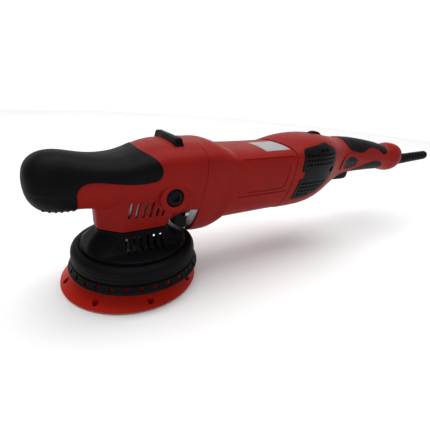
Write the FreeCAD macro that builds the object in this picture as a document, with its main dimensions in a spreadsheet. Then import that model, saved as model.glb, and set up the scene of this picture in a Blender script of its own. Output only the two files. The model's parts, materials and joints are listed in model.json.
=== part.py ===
"""Dual action polisher: a random-orbit car polisher with a bevel-gear head.

Frame: origin on the main spindle's axis in the plane of the pad face, +Z up, +X back towards the
rear handle, so the head is over the origin and the user's left hand side is -Y.
Every sub-part is an object of one parametric document; its Label is the name of its STEP file.
"""
import FreeCAD, Part
import math
import os
import Sketcher
from FreeCAD import Placement, Rotation, Vector

# --------------------------------------------------------------------------------------------
# Driving dimensions, in millimetres: alias, size, what it is
# --------------------------------------------------------------------------------------------
DIMENSIONS = [
    ("pad_shift_x", -3.1, "pad axis from spindle axis, along X"),
    ("pad_shift_y", 6.83, "pad axis from spindle axis, along Y"),
    ("plate_radius", 62.5, "backing plate radius"),
    ("hook_radius", 59.5, "hook face radius"),
    ("hook_thick", 1.3, "hook face thickness"),
    ("hook_bore", 6.9, "radius of the screw's way through the hook face"),
    ("plate_recess", 12.0, "radius of the screw recess under the plate"),
    ("hub_radius", 30.0, "plate hub radius"),
    ("hub_under", 9.0, "underside of the plate hub"),
    ("hub_top", 18.0, "top of the plate hub"),
    ("vent_circle", 57.4, "circle of the plate's vent holes"),
    ("vent_radius", 2.65, "plate vent hole radius"),
    ("stud_radius", 4.0, "M8 plate screw shank radius"),
    ("bearing_small_outer", 14.0, "outer radius of the 28 mm bearings"),
    ("bearing_small_bore", 6.0, "bore radius of the 28 mm bearings"),
    ("bearing_wide", 8.0, "width of the 28 mm bearings"),
    ("pad_bearing_low", 23.5, "underside of the lower pad bearing"),
    ("pad_bearing_high", 32.5, "underside of the upper pad bearing"),
    ("running_gap", 0.06, "radial running clearance of a shaft in a bearing"),
    ("spindle_foot", 41.8, "lower end of the main spindle"),
    ("spindle_head", 104.0, "upper end of the main spindle"),
    ("spindle_radius", 7.44, "main spindle radius at gear and lower bearing"),
    ("lower_bearing_base", 54.0, "underside of the spindle's lower bearing"),
    ("lower_bearing_outer", 17.5, "outer radius of the spindle's lower bearing"),
    ("lower_bearing_wide", 11.0, "width of the spindle's lower bearing"),
    ("upper_bearing_base", 96.0, "underside of the spindle's upper bearing"),
    ("counterweight_radius", 38.0, "radius of the counterweight sector"),
    ("motor_height", 90.0, "height of the motor axis"),
    ("crown_radius", 21.0, "outer pitch radius of the crown gear"),
    ("crown_teeth", 39, "teeth of the crown gear"),
    ("pinion_teeth", 13, "teeth of the pinion"),
    ("gear_face", 0.62, "inner end of the teeth as a share of the cone distance"),
    ("case_radius", 22.9, "outer radius of the gear case round the crown gear"),
    ("case_inner", 21.6, "inner radius of the gear case"),
    ("snout_radius", 20.0, "radius of the bearing plate's snout"),
    ("skirt_radius", 58.1, "radius of the shroud's lower lip"),
    ("skirt_base", 19.5, "lower edge of the shroud"),
    ("skirt_hole_height", 23.2, "height of the skirt's hole row"),
    ("skirt_hole_radius", 2.0, "radius of the skirt's holes"),
    ("neck_top", 58.3, "top of the shroud's neck"),
    ("tower_base", 58.8, "lower edge of the head cover's tower"),
    ("tower_half", 24.0, "half width of the tower at its lower edge"),
    ("tower_front", 33.4, "front face of the tower from the spindle axis"),
    ("tower_rear", 27.0, "rear face of the tower from the spindle axis"),
    ("dome_radius", 46.1, "radius of the shroud's dome at its foot"),
    ("dome_foot", 41.4, "height of the dome's foot"),
    ("cover_wall", 2.3, "wall of the plastic covers"),
    ("seam_front", 52.0, "joint between head cover and motor housing"),
    ("seam_rear", 154.0, "joint between motor housing and handle"),
    ("boss_x", 24.6, "side boss, along X"),
    ("boss_height", 88.6, "side boss height"),
    ("boss_radius", 12.4, "side boss radius"),
    ("boss_reach", 36.2, "side boss face from the middle plane"),
    ("plug_radius", 7.6, "side plug radius"),
    ("stator_radius", 29.5, "field stack radius"),
    ("rotor_radius", 20.0, "armature core radius"),
    ("stack_front", 88.0, "front of the lamination stacks"),
    ("stack_long", 44.0, "length of the lamination stacks"),
    ("shaft_radius", 6.0, "motor shaft radius through the armature"),
    ("commutator_radius", 13.0, "commutator radius"),
    ("commutator_front", 145.0, "front of the commutator"),
    ("fan_radius", 26.5, "cooling fan radius"),
    ("fan_front", 60.0, "front of the cooling fan"),
    ("dial_radius", 15.0, "speed dial radius"),
    ("dial_x", 209.0, "speed dial axis, along X"),
    ("dial_height", 118.0, "speed dial axis height"),
    ("dial_half", 3.5, "half width of the speed dial"),
    ("trigger_pivot_x", 253.0, "trigger pivot, along X"),
    ("trigger_pivot_z", 83.0, "trigger pivot height"),
    ("trigger_half", 7.5, "half width of the trigger"),
    ("sleeve_radius", 7.0, "strain relief radius at the handle"),
    ("sleeve_long", 84.0, "strain relief length outside the handle"),
    ("cord_radius", 3.8, "cord bore radius of the strain relief"),
]

doc = FreeCAD.newDocument("dual_action_polisher")
sheet = doc.addObject("Spreadsheet::Sheet", "dims")
for row, (alias, size, meaning) in enumerate(DIMENSIONS, start=1):
    sheet.set("A%d" % row, meaning)
    sheet.set("B%d" % row, str(size))
    sheet.setAlias("B%d" % row, alias)
doc.recompute()

SIDES = (("left", -1), ("right", 1))     # the user's left hand is on the -Y side
UP, DOWN, BACK = (0, 0, 1), (0, 0, -1), (1, 0, 0)
LEFTWARD, RIGHTWARD = (0, -1, 0), (0, 1, 0)
parts = []


# --------------------------------------------------------------------------------------------
# Helpers: sizes are written as short sums of sheet words, such as "hub_top - 2"
# --------------------------------------------------------------------------------------------
def words_of(size):
    return str(size).split()


def value(size):
    """Number that a sum of sheet words and plain numbers stands for."""
    total, sign = 0.0, 1
    for word in words_of(size):
        if word in ("+", "-"):
            sign = 1 if word == "+" else -1
        else:
            total += sign * (getattr(sheet, word) if word[0].isalpha() else float(word))
    return total


def bind(thing, field, size):
    """Tie a property to the sheet."""
    named = ["dims." + word if word[0].isalpha() else word for word in words_of(size)]
    thing.setExpression(field, " ".join(named))


TURNS = {
    "Z": Rotation(),
    "X": Rotation(Vector(0, 1, 0), 90),
    "Y": Rotation(Vector(1, 0, 0), -90),
}


def place(thing, at, along="Z"):
    """Put a piece's own origin at a point and its own Z axis along a row axis."""
    thing.Placement = Placement(Vector(*[value(size) for size in at]), TURNS[along])
    for axis, size in zip("xyz", at):
        bind(thing, "Placement.Base." + axis, size)
    return thing


def keep(label, thing):
    """Count a finished sub-part and give it its node name."""
    thing.Label = label
    parts.append(thing)
    return thing


def origin_plane(owner, role):
    return next(item for item in owner.Origin.OriginFeatures if item.Role == role)


def new_sketch(owner, name, role, lift="0"):
    sketch = owner.newObject("Sketcher::SketchObject", name)
    sketch.AttachmentSupport = [(origin_plane(owner, role), "")]
    sketch.MapMode = "FlatFace"
    if lift != "0":
        bind(sketch, "AttachmentOffset.Base.z", lift)
    return sketch


def pin_point(sketch, geometry, which, across, up):
    """Hold a sketch point at sheet-driven distances from the sketch's origin."""
    for kind, axis, size in (("DistanceX", -2, across), ("DistanceY", -1, up)):
        if abs(value(size)) < 1e-9:
            sketch.addConstraint(Sketcher.Constraint("PointOnObject", geometry, which, axis))
        else:
            rule = Sketcher.Constraint(kind, -1, 1, geometry, which, value(size))
            bind(sketch, "Constraints[%d]" % sketch.addConstraint(rule), size)


def outline(owner, name, corners, role="XZ_Plane", lift="0"):
    """Closed straight-sided sketch; each corner is (across, up)."""
    sketch = new_sketch(owner, name, role, lift)
    spots = [Vector(value(across), value(up), 0) for across, up in corners]
    count = len(spots)
    for i, spot in enumerate(spots):
        sketch.addGeometry(Part.LineSegment(spot, spots[(i + 1) % count]), False)
    for i in range(count):
        sketch.addConstraint(Sketcher.Constraint("Coincident", i, 2, (i + 1) % count, 1))
    for i, (across, up) in enumerate(corners):
        pin_point(sketch, i, 1, across, up)
    return sketch


def circles(owner, name, rounds, role="XY_Plane", lift="0"):
    """Sketch of circles; each is (across, up, radius)."""
    sketch = new_sketch(owner, name, role, lift)
    for i, (across, up, radius) in enumerate(rounds):
        middle = Vector(value(across), value(up), 0)
        sketch.addGeometry(Part.Circle(middle, Vector(0, 0, 1), value(radius)), False)
        pin_point(sketch, i, 3, across, up)
        size = sketch.addConstraint(Sketcher.Constraint("Radius", i, value(radius)))
        bind(sketch, "Constraints[%d]" % size, radius)
    return sketch


def new_body(name):
    return doc.addObject("PartDesign::Body", name)


def turned(name, corners, at=None, along="Z"):
    """Body of revolution; each corner is (radius, distance along the axis)."""
    owner = new_body(name)
    sketch = outline(owner, name + "_profile", corners)
    turn = owner.newObject("PartDesign::Revolution", name + "_turn")
    turn.Profile = sketch
    turn.ReferenceAxis = (sketch, ["V_Axis"])
    turn.Angle = 360
    owner.Tip = turn
    return place(owner, at, along) if at else owner


def pierce(owner, sketch, count=1):
    """Cut a sketch right through a body both ways, repeated round the body's own Z axis."""
    cut_out = owner.newObject("PartDesign::Pocket", sketch.Name + "_cut")
    cut_out.Profile = sketch
    cut_out.Type = "ThroughAll"
    cut_out.Midplane = True
    owner.Tip = cut_out
    if count > 1:
        spread(owner, cut_out, count)


def spread(owner, feature, count):
    """Repeat a feature round the body's own Z axis."""
    pattern = owner.newObject("PartDesign::PolarPattern", feature.Name + "_ring")
    pattern.Originals = [feature]
    axis = next(item for item in owner.Origin.OriginFeatures if item.Role == "Z_Axis")
    pattern.Axis = (axis, [""])
    pattern.Angle = 360
    pattern.Occurrences = count
    owner.Tip = pattern


def flipped(size):
    """The same sum with every sign changed."""
    terms, sign = ["0"], "-"
    for word in words_of(size):
        if word in ("+", "-"):
            sign = "-" if word == "+" else "+"
        else:
            terms += [sign, word]
    return " ".join(terms)


def prism(name, corners, start, end, role="XZ_Plane"):
    """Straight-sided slab; on XZ it runs along Y, on YZ along X and on XY along Z."""
    owner = new_body(name)
    back_to_front = role == "XZ_Plane"          # that plane's own normal points along -Y
    lift = flipped(start) if back_to_front else start
    sketch = outline(owner, name + "_outline", corners, role, lift)
    pad = owner.newObject("PartDesign::Pad", name + "_pad")
    pad.Profile = sketch
    bind(pad, "Length", end + " + " + flipped(start))
    pad.Reversed = back_to_front
    owner.Tip = pad
    return owner


def rod(name, radius, length, at, along="Z"):
    thing = doc.addObject("Part::Cylinder", name)
    bind(thing, "Radius", radius)
    bind(thing, "Height", length)
    return place(thing, at, along)


def block(name, size, at):
    thing = doc.addObject("Part::Box", name)
    for field, length in zip(("Length", "Width", "Height"), size):
        bind(thing, field, length)
    return place(thing, at)


def fuse(name, things):
    thing = doc.addObject("Part::MultiFuse", name)
    thing.Shapes = things
    return thing


def cut(name, base, tools):
    thing = doc.addObject("Part::Cut", name)
    thing.Base = base
    thing.Tool = tools[0] if len(tools) == 1 else fuse(name + "_tools", tools)
    return thing


def common(name, first, second):
    thing = doc.addObject("Part::Common", name)
    thing.Base = first
    thing.Tool = second
    return thing


def shaped(name, shape):
    """Free-form solid, where neither a body nor a primitive fits."""
    thing = doc.addObject("Part::Feature", name)
    thing.Shape = shape
    return thing


def ball_bearing(label, outer, bore, wide, at, along="Z"):
    """Shielded ball bearing as one ring with its two shields set back."""
    shield, race = "0.5", "1.8"
    corners = [
        (bore, "0"), (bore + " + " + race, "0"), (bore + " + " + race, shield),
        (outer + " - " + race, shield), (outer + " - " + race, "0"), (outer, "0"),
        (outer, wide), (outer + " - " + race, wide), (outer + " - " + race, wide + " - " + shield),
        (bore + " + " + race, wide + " - " + shield), (bore + " + " + race, wide), (bore, wide),
    ]
    return keep(label, turned(label, corners, at, along))


def hexagon(radius):
    """Flat six-sided face about the Z axis."""
    corners = []
    for k in range(7):
        turn = math.radians(60 * k)
        corners.append(Vector(radius * math.cos(turn), radius * math.sin(turn), 0))
    return Part.Face(Part.makePolygon(corners))


def screw(spot, way, head, shank, head_long, long):
    """Socket screw that points along way, with the underside of its head at the spot."""
    point, axis = Vector(*spot), Vector(*way)
    top = Part.makeCylinder(head, head_long, point, axis * -1)
    stem = Part.makeCylinder(shank, long, point, axis)
    socket = hexagon(head * 0.5).extrude(Vector(0, 0, head_long * 0.6))
    socket.Placement = Placement(point - axis * head_long, Rotation(Vector(0, 0, 1), axis))
    return top.fuse(stem).cut(socket).removeSplitter()


def screws(label, spots, way, head, shank, head_long, long):
    """Group of equal screws that all point one way."""
    pieces = [screw(spot, way, head, shank, head_long, long) for spot in spots]
    return keep(label, shaped(label, Part.makeCompound(pieces) if len(pieces) > 1 else pieces[0]))

# --------------------------------------------------------------------------------------------
# Free-form outer surfaces: stations along X, each (x, top, bottom, half width, widest height)
# --------------------------------------------------------------------------------------------
HEAD = [
    (-80.7, 103.0, 99.0, 2.0, 101.0), (-80.2, 107.0, 95.0, 6.5, 101.0), (-78.8, 112.3, 89.8, 12.0, 101.0),
    (-76.0, 117.0, 84.8, 16.8, 101.0), (-71.5, 120.8, 80.6, 20.4, 101.0), (-66.0, 123.0, 78.4, 22.4, 101.0),
    (-59.0, 123.8, 77.4, 23.4, 101.0), (-51.0, 123.0, 77.2, 23.8, 101.2), (-43.0, 121.4, 77.2, 24.4, 101.8),
    (-34.0, 119.9, 76.0, 26.0, 102.8), (-24.0, 119.2, 72.0, 28.6, 104.4), (-14.0, 119.6, 68.0, 31.4, 106.2),
    (-5.0, 121.4, 64.0, 33.8, 107.8), (4.0, 124.4, 61.0, 35.8, 109.2), (13.0, 127.4, 58.0, 37.2, 110.4),
    (23.0, 129.2, 54.0, 38.2, 111.4), (34.0, 129.6, 48.4, 38.9, 112.3), (43.0, 129.7, 43.4, 39.4, 112.9),
    (52.0, 129.6, 39.5, 39.6, 113.4),
]
FLANGE = [
    (52.0, 129.6, 39.5, 39.6, 113.4), (60.0, 129.6, 38.4, 39.6, 113.4), (67.0, 129.2, 38.4, 39.2, 113.0),
    (73.0, 127.6, 39.4, 38.6, 112.6), (79.0, 125.0, 43.4, 37.9, 112.0), (84.0, 122.9, 48.7, 37.4, 111.4),
]
BARREL = [
    (84.0, 122.4, 49.4, 36.8, 111.2), (107.0, 122.0, 49.6, 36.8, 111.2),
    (131.0, 122.0, 49.8, 36.9, 111.2), (154.0, 122.6, 50.0, 37.2, 111.2),
]
REAR = [
    (154.0, 123.4, 49.6, 37.6, 111.2), (164.0, 126.6, 49.2, 38.0, 111.4), (176.0, 129.2, 49.2, 38.2, 111.6),
    (190.0, 130.6, 49.8, 37.8, 111.6), (203.0, 130.8, 51.8, 36.0, 111.2), (214.0, 129.8, 55.0, 32.8, 110.2),
    (224.0, 128.0, 59.4, 28.8, 108.8), (234.0, 126.4, 64.8, 24.8, 107.0), (244.0, 125.4, 70.6, 21.6, 105.2),
    (255.0, 125.0, 76.0, 19.4, 103.6), (267.0, 124.4, 79.4, 18.2, 102.6), (283.0, 122.8, 80.8, 17.4, 101.8),
    (303.0, 120.0, 81.0, 17.0, 100.4), (323.0, 116.6, 80.8, 16.8, 98.6), (339.0, 113.2, 80.0, 16.8, 96.8),
    (348.0, 112.2, 78.4, 17.4, 95.6), (356.0, 113.4, 76.6, 18.6, 95.0), (364.0, 114.0, 76.0, 19.2, 95.0),
    (372.0, 112.4, 77.6, 17.6, 95.0), (378.0, 109.0, 81.0, 14.2, 95.0), (382.0, 104.6, 85.4, 9.8, 95.0),
    (383.8, 100.2, 89.8, 5.3, 95.0), (384.2, 97.0, 93.0, 2.0, 95.0),
]
SIDE_POINTS = 15                             # points down one side of a section


def keel_share(x):
    """How far the section has gone from a round belly, 0, to a V-shaped keel, 1."""
    return max(0.0, min(1.0, (x + 34) / 64, (84 - x) / 12))


def side_spots(station, grow):
    """Points down one side of the egg-shaped section, from the crown to the keel."""
    x, top, bottom, half, widest = station
    shoulder = 2.3 + 0.3 * min(1.0, max(0.0, (x + 34) / 40)) - 0.3 * min(1.0, max(0.0, (x - 214) / 40))
    belly, keel = 2.0 - 0.5 * keel_share(x), 0.5 + 0.12 * keel_share(x)
    rise, drop, half = top + grow - widest, widest - bottom + grow, half + grow
    spots = [Vector(x, 0, widest + rise)]
    for i in range(1, SIDE_POINTS - 1):
        turn = math.pi * (0.5 - i / (SIDE_POINTS - 1))
        across, up = math.cos(turn), math.sin(turn)
        if up >= 0:
            spots.append(Vector(x, half * across ** (2 / shoulder), widest + rise * up ** (2 / shoulder)))
        else:
            spots.append(Vector(x, half * (1 - (-up) ** belly) ** keel, widest + drop * up))
    return spots + [Vector(x, 0, widest - drop)]


def even_stops(spots):
    """Distance along the points, so that every section shares one parametrisation."""
    stops = [0.0]
    for first, second in zip(spots, spots[1:]):
        stops.append(stops[-1] + (second - first).Length)
    return stops


STOPS = even_stops(side_spots((0.0, 126.0, 49.0, 38.0, 111.0), 0.0))


def section(station, grow):
    """Closed wire across X, made of one smooth curve down each side."""
    spots = side_spots(station, grow)
    width = spots[SIDE_POINTS // 2].y / 38.0
    edges = []
    for sign in (1, -1):
        curve = Part.BSplineCurve()
        points = [Vector(spot.x, sign * spot.y, spot.z) for spot in spots]
        outward = Vector(0, sign * width, 0)
        curve.interpolate(Points=points, Parameters=STOPS, InitialTangent=outward, FinalTangent=outward * -1,
                          Scale=False)
        edges.append(curve.toShape())
    return Part.Wire(edges)


def hull(stations, grow=0.0, ends=(0.0, 0.0)):
    """Smooth solid through the stations, grown outward evenly, its ends moved along X."""
    run = [list(station) for station in stations]
    run[0][0] += ends[0]
    run[-1][0] += ends[1]
    run = [station for station in run if min(station[3] + grow, station[1] + grow - station[4]) > 0.8]
    return Part.makeLoft([section(station, grow) for station in run], True)


def slab(stations, start, end, grow):
    """Slice of a hull between two X planes."""
    room = Part.makeBox(end - start, 200, 200, Vector(start, -100, 0))
    return hull(stations, grow).common(room)


def smooth_patch(spots, start, end):
    """Slab along Y whose side outline is a smooth closed curve through (x, z) points."""
    curve = Part.BSplineCurve()
    curve.interpolate(Points=[Vector(x, start, z) for x, z in spots], PeriodicFlag=True)
    return Part.Face(Part.Wire([curve.toShape()])).extrude(Vector(0, end - start, 0))


def rounded_patch(spots, radius, start, end):
    """Slab along Y with a straight-sided (x, z) outline whose corners are rounded."""
    ring = [Vector(x, start, z) for x, z in spots]
    solid = Part.Face(Part.makePolygon(ring + ring[:1])).extrude(Vector(0, end - start, 0))
    upright = [edge for edge in solid.Edges if abs(edge.tangentAt(edge.FirstParameter).y) > 0.99]
    return solid.makeFillet(radius, upright)


def grown(spots, amount):
    """The (x, z) outline pushed outward about its own middle by about the amount."""
    middle_x = sum(x for x, z in spots) / len(spots)
    middle_z = sum(z for x, z in spots) / len(spots)
    moved = []
    for x, z in spots:
        reach = math.hypot(x - middle_x, z - middle_z)
        share = 1 + amount / reach
        moved.append((middle_x + (x - middle_x) * share, middle_z + (z - middle_z) * share))
    return moved


def mirrored(shape):
    return shape.mirror(Vector(0, 0, 0), Vector(0, 1, 0))


def cylinder(radius, start, end, along):
    """Plain cylinder between two points that differ along one row axis."""
    return Part.makeCylinder(radius, (Vector(*end) - Vector(*start)).Length, Vector(*start), along)


# --------------------------------------------------------------------------------------------
# Pad: everything that turns about the eccentric axis
# --------------------------------------------------------------------------------------------
pad_axis = ("pad_shift_x", "pad_shift_y", "0")

keep("hook_face", turned("hook_face", [
    ("hook_bore", "0"), ("hook_radius", "0"), ("hook_radius", "hook_thick"), ("hook_bore", "hook_thick"),
], pad_axis))

plate = turned("backing_plate", [
    ("plate_recess", "hook_thick"), ("plate_radius - 0.5", "hook_thick"),
    ("plate_radius", "hook_thick + 0.4"), ("plate_radius - 0.2", "hook_thick + 1.1"), ("51.2", "12.8"),
    ("47.5", "14.8"), ("33.5", "16.4"), ("hub_radius", "16.4"), ("hub_radius", "hub_under"),
    ("plate_recess", "hub_under"),
], pad_axis)
pierce(plate, circles(plate, "plate_vent", [("vent_circle", "0", "vent_radius")]), 8)
keep("backing_plate", plate)

hub = turned("plate_hub", [
    ("stud_radius + 0.2", "hub_under"), ("hub_radius", "hub_under"), ("hub_radius", "16.4"),
    ("27", "hub_top"), ("stud_radius + 0.2", "hub_top"),
], pad_axis)
pierce(hub, circles(hub, "hub_pocket", [("21", "0", "2.4")]), 6)
keep("plate_hub", hub)

keep("plate_washer", turned("plate_washer", [
    ("stud_radius + 0.3", "7.4"), ("10", "7.4"), ("10", "hub_under"), ("stud_radius + 0.3", "hub_under"),
], pad_axis))
pad_x, pad_y = value("pad_shift_x"), value("pad_shift_y")
screws("plate_screw", [(pad_x, pad_y, 7.4)], UP, 6.5, value("stud_radius"), 4.4, 22.5)

keep("pad_spindle", turned("pad_spindle", [
    ("stud_radius + 0.05", "hub_top"), ("12", "hub_top"), ("12", "21"), ("7.6", "21"), ("7.6", "22.9"),
    ("bearing_small_bore - running_gap", "22.9"), ("bearing_small_bore - running_gap", "40.7"),
    ("0", "40.7"), ("0", "31"), ("stud_radius + 0.05", "31"),
], pad_axis))

# --------------------------------------------------------------------------------------------
# Drive: everything that turns with the main spindle
# --------------------------------------------------------------------------------------------
keep("main_spindle", turned("main_spindle", [
    ("0", "spindle_foot"), ("spindle_radius", "spindle_foot"), ("spindle_radius", "65.6"),
    ("9.5", "65.6"), ("9.5", "69.8"), ("spindle_radius", "69.8"), ("spindle_radius", "82"),
    ("bearing_small_bore - running_gap", "82"), ("bearing_small_bore - running_gap", "spindle_head"),
    ("0", "spindle_head"),
]))

apex = Vector(0, 0, value("motor_height"))
crown_pitch = value("crown_radius")
pinion_pitch = crown_pitch * value("pinion_teeth") / value("crown_teeth")
module = 2 * crown_pitch / value("crown_teeth")
share = value("gear_face")
TOOTH_TIP, TOOTH_ROOT, TOOTH_SINK = 0.85 * module, 1.15 * module, 0.45
TOOTH_HALF = module * math.pi / 4 - 0.13 * module
FLANK_SLOPE = math.tan(math.radians(20))


def tooth(pitch_point, outward, across):
    """Straight bevel tooth: one outline at the outer end, scaled towards the apex at the inner end."""
    spots = []
    for height, side in ((-TOOTH_ROOT - TOOTH_SINK, -1), (TOOTH_TIP, -1), (TOOTH_TIP, 1),
                         (-TOOTH_ROOT - TOOTH_SINK, 1)):
        half = TOOTH_HALF - height * FLANK_SLOPE
        spots.append(pitch_point + outward * height + across * (side * half))
    inner = [apex + (spot - apex) * share for spot in spots]
    rings = [Part.makePolygon(ring + ring[:1]) for ring in (spots, inner)]
    return Part.makeLoft(rings, True, True)


def gear(blank, first_tooth, count, centre, axis, offset):
    """Blank with its teeth; offset is the first tooth's angle in tooth pitches."""
    teeth = []
    for i in range(int(count)):
        copy = first_tooth.copy()
        copy.rotate(centre, axis, 360.0 / count * (i + offset))
        teeth.append(copy)
    return blank.multiFuse(teeth).removeSplitter()


def cone_line(pitch_point, outward, depth):
    """Outer and inner end of a line parallel to the pitch cone's surface, depth below it."""
    outer = pitch_point - outward * depth
    return outer, apex + (outer - apex) * share


def spun(corners, centre, axis, across):
    """Plain solid of revolution; each corner is (radius, distance along the axis)."""
    ring = [centre + axis * far + across * radius for radius, far in corners]
    return Part.Face(Part.makePolygon(ring + ring[:1])).revolve(centre, axis, 360)


up, back, side = Vector(0, 0, 1), Vector(1, 0, 0), Vector(0, 1, 0)
lean = math.atan2(pinion_pitch, crown_pitch)
crown_point = Vector(crown_pitch, 0, value("motor_height") - pinion_pitch)
crown_out = Vector(math.sin(lean), 0, math.cos(lean))
root_outer, root_inner = cone_line(crown_point, crown_out, TOOTH_ROOT)
bore = value("spindle_radius") + 0.02
crown_blank = spun([
    (bore, 70.0), (14.0, 70.0), (14.0, 74.0), (root_outer.x - 1.0, 78.0), (root_outer.x, root_outer.z),
    (root_inner.x, root_inner.z), (root_inner.x - 1.0, 84.0), (bore, 84.0),
], Vector(0, 0, 0), up, back)
crown_tooth = tooth(crown_point, crown_out, side)
crown_solid = gear(crown_blank, crown_tooth, value("crown_teeth"), Vector(0, 0, 0), up, 0)
keep("crown_gear", shaped("crown_gear", crown_solid))

shift = Vector(value("pad_shift_x"), value("pad_shift_y"), 0)
seat = value("bearing_small_outer") + 0.02
spindle_foot = value("spindle_foot")
weight_core = Part.makeCylinder(19, spindle_foot - 23.2, shift + Vector(0, 0, 23.2))
weight_neck = Part.makeCylinder(13.4, 53.2 - spindle_foot + 0.4, Vector(0, 0, spindle_foot - 0.4))
weight_sector = Part.makeCylinder(value("counterweight_radius"), 11, Vector(0, 0, 25.5), up, 150)
opposite = math.degrees(math.atan2(-shift.y, -shift.x)) - 75
weight_sector.rotate(Vector(0, 0, 0), up, opposite)
weight = weight_core.fuse([weight_neck, weight_sector])
weight = weight.cut(Part.makeCylinder(seat, 17.8, shift + Vector(0, 0, 23.0)))
weight = weight.cut(Part.makeCylinder(value("spindle_radius") + 0.02, 20, Vector(0, 0, spindle_foot)))
keep("eccentric_weight", shaped("eccentric_weight", weight.removeSplitter()))
for name, base in (("pad_bearing_lower", "pad_bearing_low"), ("pad_bearing_upper", "pad_bearing_high")):
    ball_bearing(name, "bearing_small_outer", "bearing_small_bore", "bearing_wide",
                 ("pad_shift_x", "pad_shift_y", base))

# --------------------------------------------------------------------------------------------
# Gear case and the spindle's bearings
# --------------------------------------------------------------------------------------------
ball_bearing("spindle_bearing_lower", "lower_bearing_outer", "spindle_radius + running_gap",
             "lower_bearing_wide", ("0", "0", "lower_bearing_base"))
ball_bearing("spindle_bearing_upper", "bearing_small_outer", "bearing_small_bore", "bearing_wide",
             ("0", "0", "upper_bearing_base"))

LUGS = [(-24.3, -5.2), (-24.3, 5.2), (22.0, -11.5), (22.0, 11.5)]
snout = spun([
    (15.2, 50.2), (value("snout_radius"), 50.2), (value("snout_radius"), 66.0), (22.6, 66.0), (22.6, 70.0),
    (12.0, 70.0), (12.0, 65.2), (value("lower_bearing_outer") + 0.02, 65.2),
    (value("lower_bearing_outer") + 0.02, 53.9), (15.2, 53.9),
], Vector(0, 0, 0), up, back)
lid = snout.fuse([Part.makeCylinder(4.4, 4, Vector(x, y, 66)) for x, y in LUGS])
lid = lid.cut(Part.makeCompound([Part.makeCylinder(2.1, 10, Vector(x, y, 62)) for x, y in LUGS]))
keep("bearing_plate", shaped("bearing_plate", lid.removeSplitter()))
screws("lid_screws", [(x, y, 66.0) for x, y in LUGS], UP, 3.5, 2.0, 3.4, 13.0)

case_top = spun([
    (0, 70.1), (value("case_radius"), 70.1), (value("case_radius"), 101.0), (19.0, 108.2), (0, 108.2),
], Vector(0, 0, 0), up, back)
case_bosses = [Part.makeCylinder(4.4, 14, Vector(x, y, 70.1)) for x, y in LUGS]
motor_z = value("motor_height")
case_tube = cylinder(20.0, (12, 0, motor_z), (46.5, 0, motor_z), back)
case_flange = slab(HEAD, 44.4, value("seam_front") - 0.2, -value("cover_wall") - 0.3)
case = case_top.fuse(case_bosses + [case_tube, case_flange])
case_room = spun([
    (0, 69), (value("case_inner"), 69), (value("case_inner"), 93.0), (14.0, 95.9), (14.02, 104.3), (0, 104.3),
], Vector(0, 0, 0), up, back)
tube_room = spun([
    (0, 8), (12.2, 8), (12.2, 34.8), (16.02, 34.8), (16.02, 45.0), (12.0, 45.0), (12.0, 53.0), (0, 53.0),
], Vector(0, 0, motor_z), back, side)
lug_holes = [Part.makeCylinder(2.05, 10, Vector(x, y, 70.1)) for x, y in LUGS]
FLANGE_HOLES = [(-32.6, 116.0), (32.6, 116.0), (-18.0, 66.0), (18.0, 66.0)]
flange_holes = [cylinder(2.1, (40, y, z), (56, y, z), back) for y, z in FLANGE_HOLES]
case = case.cut([case_room, tube_room]).cut(Part.makeCompound(lug_holes + flange_holes))
keep("gear_case", shaped("gear_case", case.removeSplitter()))
screws("flange_screws", [(44.4, y, z) for y, z in FLANGE_HOLES], BACK, 3.5, 2.0, 3.4, 14.0)

# --------------------------------------------------------------------------------------------
# Rings with softened corners round the spindle axis: each face is (turn from +X in degrees, reach)
# --------------------------------------------------------------------------------------------
RING_POINTS = 25                             # points down one side of a ring
SHARPNESS = 30                               # higher is sharper at the corners


def reach_at(angle, faces):
    """Distance from the spindle axis to the ring in one direction."""
    total = 0.0
    for turn, reach in faces:
        for side_turn in ((turn,) if turn in (0, 180) else (turn, -turn)):
            total += max(0.0, math.cos(math.radians(angle - side_turn)) / reach) ** SHARPNESS
    return total ** (-1 / SHARPNESS)


def ring_spots(height, faces, limit):
    spots = []
    for i in range(RING_POINTS):
        angle = 180 - 180 * i / (RING_POINTS - 1)
        reach = (reach_at(angle, faces) ** -SHARPNESS + limit ** -SHARPNESS) ** (-1 / SHARPNESS)
        turn = math.radians(angle)
        spots.append(Vector(reach * math.cos(turn), reach * math.sin(turn), height))
    return spots


TOWER_LOW = [(180, value("tower_front")), (131.6, 28.6), (90, value("tower_half")), (41.8, 32.2),
             (0, value("tower_rear"))]
TOWER_HIGH = [(180, value("tower_front") + 0.1), (138.0, 31.6), (98, 30.8), (39.8, 50.2), (0, 40.0)]
FAR = 90.0                                   # limit that leaves a ring's faces alone
RING_STOPS = even_stops(ring_spots(0.0, TOWER_LOW, FAR))


def ring(height, faces, inset=0.0, limit=FAR):
    """Closed wire at one height, made of one smooth curve down each side."""
    spots = ring_spots(height, [(turn, reach - inset) for turn, reach in faces], limit - inset)
    width = -spots[0].x / value("tower_front")
    edges = []
    for sign in (1, -1):
        curve = Part.BSplineCurve()
        points = [Vector(spot.x, sign * spot.y, spot.z) for spot in spots]
        outward = Vector(0, sign * width, 0)
        curve.interpolate(Points=points, Parameters=RING_STOPS, InitialTangent=outward,
                          FinalTangent=outward * -1, Scale=False)
        edges.append(curve.toShape())
    return Part.Wire(edges)


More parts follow.
